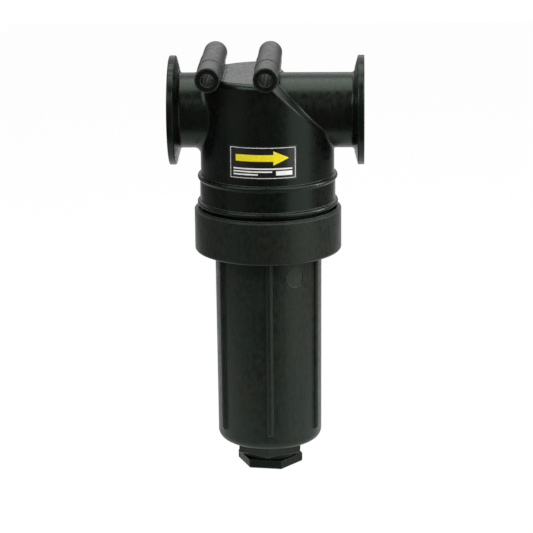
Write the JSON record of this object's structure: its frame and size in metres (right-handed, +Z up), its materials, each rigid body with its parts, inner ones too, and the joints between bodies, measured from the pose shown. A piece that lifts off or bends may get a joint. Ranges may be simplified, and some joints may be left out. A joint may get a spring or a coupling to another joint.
{
  "type": "t strainer",
  "caption": "In-line T strainer: flanged tee head, screw-on ribbed bowl with a drain plug, and a removable mesh screen inside.",
  "frame": {"origin": "centre of the inlet flange's face, on the flow axis", "axes": "+X along the flow from inlet to outlet, +Z up, away from the bowl; the front with the label faces -Y"},
  "size_m": [0.1532, 0.12, 0.3371],
  "materials": {
    "black_polypropylene": "moulded, semi-gloss, faintly mottled",
    "label_film": "printed film, glossy",
    "epdm_rubber": "matt",
    "screen_polypropylene": "moulded, satin",
    "stainless_mesh": "woven wire"
  },
  "bodies": {
    "head": {"head": "black_polypropylene", "label": "label_film", "screen_gasket": "epdm_rubber"},
    "screen": {"screen_top_ring": "screen_polypropylene", "screen_cage": "screen_polypropylene", "screen_mesh": "stainless_mesh", "screen_seam": "stainless_mesh", "screen_bottom_cap": "screen_polypropylene"},
    "bowl": {"bowl": "black_polypropylene", "bowl_gasket": "epdm_rubber"},
    "drain_seal": {"drain_plug_gasket": "epdm_rubber"},
    "drain_plug": {"drain_plug": "black_polypropylene"}
  },
  "joints": [
    {"name": "screen_drop", "type": "slide", "parent": "head", "child": "screen", "axis": [0, 0, -1], "range_m": [0, 0.02401]},
    {"name": "bowl_turn", "type": "hinge", "parent": "screen", "child": "bowl", "pos_m": [0.0766, 0, -0.19], "axis": [0, 0, -1], "range_deg": [0, 1440]},
    {"name": "seal_drop", "type": "slide", "parent": "bowl", "child": "drain_seal", "axis": [0, 0, -1], "range_m": [0, 0.01381]},
    {"name": "plug_turn", "type": "hinge", "parent": "drain_seal", "child": "drain_plug", "pos_m": [0.0766, 0, -0.288], "axis": [0, 0, -1], "range_deg": [0, 2160]}
  ],
  "couplings": [
    {"joint": "screen_drop", "follows": "bowl_turn", "m_per_rad": 0.00095493},
    {"joint": "seal_drop", "follows": "plug_turn", "m_per_rad": 0.00036606}
  ]
}
